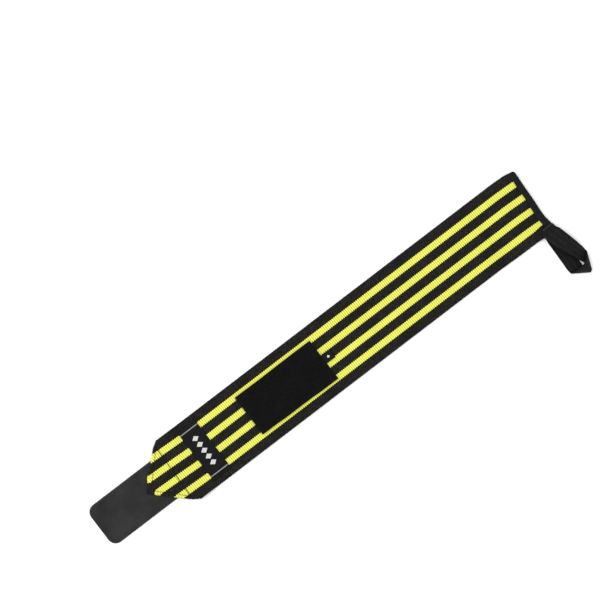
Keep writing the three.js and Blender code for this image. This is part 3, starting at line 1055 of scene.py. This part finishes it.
makeTag()
makeFleece()
print("label, patch and tag laid")


# The binding and thumb loop: one tape, folded over the band's end and then twisted round into a loop

loopRulings = [  # outer edge, inner edge and crown, as shares: across, along, seat, rise
    ((-0.96, 0.12, 0, 0), (0.043, 0.12, 0, 0), 0),
    ((-0.978, 0.35, 0, 0), (-0.02, 0.35, 0, 0), 0.02),
    ((-0.995, 0.557, 0, 0), (-0.09, 0.6, 0, 0), 0.08),
    ((-1.008, 0.705, 0, 0), (-0.14, 0.8, 0, 0), 0.12),
    ((-0.998, 0.764, 0, 0.01), (-0.06, 0.922, 0, 0), 0.05),
    ((-0.955, 0.795, 0, 0.18), (-0.01, 0.978, 0, 0.14), 0),
    ((-0.827, 0.806, 0, 0.36), (0.02, 0.976, 0, 0.28), 0.02),
    ((-0.54, 0.808, 0, 0.67), (0.055, 0.969, 0, 0.35), 0.06),
    ((-0.178, 0.796, 0, 0.88), (0.085, 0.961, 0, 0.37), 0.09),
    ((0.151, 0.758, 0, 0.8), (0.105, 0.957, 0, 0.35), 0.06),
    ((0.416, 0.704, 0, 0.48), (0.13, 0.949, 0, 0.32), 0.02),
    ((0.541, 0.648, 0, 0.2), (0.148, 0.935, 0, 0.17), 0),
    ((0.551, 0.61, 0, 0.04), (0.13, 0.9, 0, 0.02), 0),
    ((0.532, 0.557, 0, 0.12), (0.07, 0.81, 0, 0.04), 0),
    ((0.475, 0.484, 0, 0.35), (-0.095, 0.7, 0, 0.29), 0.01),
    ((0.412, 0.401, 0, 0.63), (-0.265, 0.57, 0, 0.65), 0.02),
    ((0.314, 0.291, 0, 0.86), (-0.481, 0.454, 0, 0.93), 0.03),
    ((0.215, 0.177, 0.25, 0.83), (-0.676, 0.323, 0.25, 0.88), 0.03),
    ((0.143, 0.096, 0.6, 0.55), (-0.822, 0.188, 0.6, 0.59), 0.02),
    ((0.097, 0.038, 0.9, 0.19), (-0.919, 0.07, 0.9, 0.19), 0),
    ((0.005, -0.013, 1, 0), (-0.978, 0.019, 1, 0), 0),
    ((-0.075, -0.116, 1, 0), (-0.78, -0.111, 1, 0), 0),
]


def foldedPoint(distance, flat):  # the folded tape's section, from its lower free edge
    arc = math.pi * foldRadius
    if distance <= flat:
        return distance, 0
    if distance <= flat + arc:
        angle = (distance - flat) / foldRadius
        return flat + foldRadius * math.sin(angle), foldRadius * (1 - math.cos(angle))
    return 2 * flat + arc - distance, 2 * foldRadius


def foldedRow(x, y, flat, slope):
    row = []
    for k in range(tape["columns"] + 1):
        out, up = foldedPoint(k / tape["columns"] * tape["width"], flat)
        row.append(Vector((x + out, y + slope * (flat + foldRadius - out), tape["thickness"] / 2 + up)))
    return row


def loopPoint(place):
    across, along, seat, rise = place
    height = tape["thickness"] / 2 + seat * cornerStack + rise * tape["rise"]
    return Vector((boundEnd + across * tape["width"], -halfBand - along * tape["reach"], height))


def curvePoint(points, place):  # a smooth curve through all points; place counts points
    k = min(int(place), len(points) - 2)
    share = place - k
    p1, p2 = points[k], points[k + 1]
    p0 = points[k - 1] if k else 2 * p1 - p2
    p3 = points[k + 2] if k + 2 < len(points) else 2 * p2 - p1
    d0, d1, d2 = ((b - a).length ** 0.5 for a, b in ((p0, p1), (p1, p2), (p2, p3)))
    start = ((p1 - p0) / d0 - (p2 - p0) / (d0 + d1) + (p2 - p1) / d1) * d1
    end = ((p2 - p1) / d1 - (p3 - p1) / (d1 + d2) + (p3 - p2) / d2) * d1
    bend = -3 * p1 + 3 * p2 - 2 * start - end
    return p1 + start * share + bend * share ** 2 + (2 * p1 - 2 * p2 + start + end) * share ** 3


def tapeRows():
    rows = []
    edges = [(boundEnd - inset * tape["endSkew"], across * halfBand) for across, inset in endEdge]
    for (x0, y0), (x1, y1) in zip(edges, edges[1:]):
        count = max(2, round((y0 - y1) / 2))
        for share in evenSteps(0, 1, count)[:-1]:
            y = mix(y0, y1, share)
            wider = tape["widening"] * sum(ease(-y, *step) for step in tape["wideningSteps"])
            opening = ease(-y, *(halfBand + past for past in tape["openingFrom"]))
            flat = mix(lowerFlat - wider, tape["cornerOpening"], opening)
            slope = tape["cornerSlope"] * ease(y, tape["slopeFrom"], edges[0][1])
            rows.append(foldedRow(mix(x0, x1, share) - foldReach - flat, y, flat, slope))
    lastX, lastY = edges[-1][0] - foldReach - tape["cornerOpening"], edges[-1][1]
    opened = loopPoint(loopRulings[0][0])
    for share in evenSteps(0, 1, tape["openingRows"])[:-1]:
        flat = mix(tape["cornerOpening"], tape["width"], share)
        rows.append(foldedRow(mix(lastX, opened.x, share), mix(lastY, opened.y, share), flat, 0))
    outer, inner = ([loopPoint(ruling[k]) for ruling in loopRulings] for k in (0, 1))
    spans = len(loopRulings) - 1
    for step in range(spans * tape["spanSteps"] + 1):
        place = step / tape["spanSteps"]
        k = min(int(place), spans - 1)
        crown = mix(loopRulings[k][2], loopRulings[k + 1][2], place - k)
        start, end = curvePoint(outer, place), curvePoint(inner, place)
        row = []
        for m in range(tape["columns"] + 1):
            share = m / tape["columns"]
            point = start.lerp(end, share)
            point.z += crown * tape["width"] * math.sin(math.pi * share)
            row.append(point)
        rows.append(row)
    return rows


def makeTape():
    rows = tapeRows()
    distance = [0]
    for before, row in zip(rows, rows[1:]):
        steps = sorted((b - a).length for a, b in zip(before, row))
        distance.append(distance[-1] + steps[len(steps) // 2])

    def layPoint(row, column):
        return rows[row][column]

    def flatPoint(row, column):
        return distance[row], (column / tape["columns"] - 0.5) * tape["width"]

    piece = laySheet("bindingTape", range(len(rows)), range(tape["columns"] + 1), layPoint, flatPoint)
    giveBody(piece, tape["visualThickness"], 0.3)
    dress(piece, tapeMaterial, "binding_cloth", "binding_tape")
    return piece


tapePiece = makeTape()
print("binding and thumb loop made")


# Sewing: one stitch is shaped, then copied along every seam, on both faces

sewing = {
    "thread": 0.6,
    "stitch": 2.6,
    "pitch": 3.1,
    "sunk": 0.3,
    "dive": 0.55,
    "unevenness": 0.12,
    "bindingInset": 1.7,
    "loopBox": [(284.6, -35.9), (295.6, -35.9), (295.4, -39.6), (283, -39.6)],
}


def makeStitch():  # a plump thread that dives into the cloth at both ends
    nothingSelected()
    bpy.ops.mesh.primitive_uv_sphere_add(segments=8, ring_count=6, radius=0.5)
    stitch = named("stitch")
    stitch.rotation_euler = (0, math.radians(90), 0)
    bpy.ops.object.transform_apply()
    stitch.scale = [value * mm for value in (sewing["stitch"], sewing["thread"], sewing["thread"])]
    bpy.ops.object.transform_apply()
    for vertex in stitch.data.vertices:
        share = vertex.co.x / (sewing["stitch"] * mm / 2)
        vertex.co.z -= share ** 4 * sewing["thread"] * sewing["dive"] * mm
    bpy.ops.object.shade_smooth()
    return stitch


def sew(name, stitch, lines, pieces, slot, pitch=sewing["pitch"]):
    length = pitch * sewing["stitch"] / sewing["pitch"]
    copies = []
    for seed, ((x0, y0), (x1, y1)) in enumerate(lines):
        reach = math.hypot(x1 - x0, y1 - y0)
        way = ((x1 - x0) / reach, (y1 - y0) / reach)
        count = max(1, round(reach / pitch))
        for k in range(count * 2):
            above = k < count
            along = (k % count + 0.5) * reach / count
            stray = sewing["unevenness"] * wander(along, seed * 7, 5, 31)
            ends = []
            for half in (-0.5, 0.5):
                x = x0 + way[0] * (along + half * length) - way[1] * stray * (1 + half)
                y = y0 + way[1] * (along + half * length) + way[0] * stray * (1 + half)
                height = surfaceHeight(pieces, x, y, above)
                ends.append(None if height is None else Vector((x, y, height)))
            if None in ends:
                continue
            run = (ends[1] - ends[0]).normalized()
            outward = Vector((0, 0, 1 if above else -1))
            across = outward.cross(run).normalized()
            frameOf = Matrix((run, across, run.cross(across))).transposed().to_4x4()
            centre = ends[0].lerp(ends[1], 0.5) + outward * sewing["thread"] * (0.5 - sewing["sunk"])
            copy = stitch.copy()
            copy.data = stitch.data.copy()
            stretch = Matrix.Diagonal((length / sewing["stitch"], 1, 1, 1))
            copy.data.transform(Matrix.Translation(centre * mm) @ frameOf @ stretch)
            bpy.context.collection.objects.link(copy)
            copies.append(copy)
    nothingSelected()
    for copy in copies:
        copy.select_set(True)
    bpy.context.view_layer.objects.active = copies[0]
    bpy.ops.object.join()
    dress(named(name), threadMaterial, slot)


def labelSeams():
    left = shoulder + label["offset"] + label["seamInset"]
    right = shoulder + label["offset"] + label["width"] - label["seamInset"]
    half = label["length"] / 2 - label["seamInset"]
    return sidesOf([(left, -half), (right, -half), (right, half), (left, half)])


def bindingSeams():  # just inside the tape's free edge on the band
    edge = boundEnd - tape["face"] + sewing["bindingInset"]
    places = [(edge - inset * tape["endSkew"], across * halfBand) for across, inset in endEdge[3:10]]
    return list(zip(places, places[1:]))


def loopSeams():  # a box with a bar through it, where the loop's end is sewn to the corner
    corners = sewing["loopBox"]
    return sidesOf(corners) + [(corners[0], corners[2])]


stitchShape = makeStitch()
sew("tipStitches", stitchShape, tipSeams(), [bandPiece, tabPiece], "binding_cloth")
sew("labelStitches", stitchShape, labelSeams(), [labelPiece, bandPiece], "label_cloth", pitch=2.4)
sew("patchStitches", stitchShape, patchSeams(), [patchPiece, bandPiece], "loop_fleece")
sew("bindingStitches", stitchShape, bindingSeams(), [tapePiece, bandPiece], "binding_cloth")
sew("loopStitches", stitchShape, loopSeams(), [tapePiece, bandPiece], "binding_cloth", pitch=2.0)
bpy.data.objects.remove(stitchShape)
print("seams sewn")


# Camera, light and floor

view = {
    "frameWidth": 656.6,
    "lens": 135,
    "sensor": 36,
    "turn": -37.4,
    "centre": (27.3, 66.9),
    "paper": "#f7f7f7",
    "skyStrength": 0.95,
    "lamps": [((-0.9, 1.3, 1.9), 1.6, 30), ((1.4, -0.6, 2.2), 2.2, 14)],  # place, size and power
}


def makeStudio():
    nothingSelected()
    distance = view["frameWidth"] * view["lens"] / view["sensor"]
    bpy.ops.object.camera_add(location=(view["centre"][0] * mm, view["centre"][1] * mm, distance * mm))
    camera = bpy.context.object
    camera.rotation_euler = (0, 0, math.radians(view["turn"]))
    camera.data.lens = view["lens"]
    camera.data.clip_end = 50
    bpy.context.scene.camera = camera
    bpy.ops.mesh.primitive_plane_add(size=30, location=(0, 0, -0.0001))
    floor = bpy.context.object
    floor.name = "studioFloor"
    paper = bpy.data.materials.new("white paper sweep")
    paper.use_nodes = True
    shader = paper.node_tree.nodes["Principled BSDF"]
    shader.inputs["Base Color"].default_value = linearColour(view["paper"])
    shader.inputs["Roughness"].default_value = 0.9
    floor.data.materials.append(paper)
    world = bpy.context.scene.world or bpy.data.worlds.new("studio")
    bpy.context.scene.world = world
    world.use_nodes = True
    sky = world.node_tree.nodes["Background"].inputs
    sky[0].default_value = (1, 1, 1, 1)
    sky[1].default_value = view["skyStrength"]
    for spot, size, power in view["lamps"]:
        bpy.ops.object.light_add(type="AREA", location=spot)
        lamp = bpy.context.object
        lamp.data.shape, lamp.data.size, lamp.data.energy = "DISK", size, power
        lamp.rotation_euler = (Vector((0, 0, 0)) - Vector(spot)).to_track_quat("-Z", "Y").to_euler()
    bpy.context.scene.view_settings.view_transform = "Standard"
    print("camera, lights and floor ready")


makeStudio()
print("done")
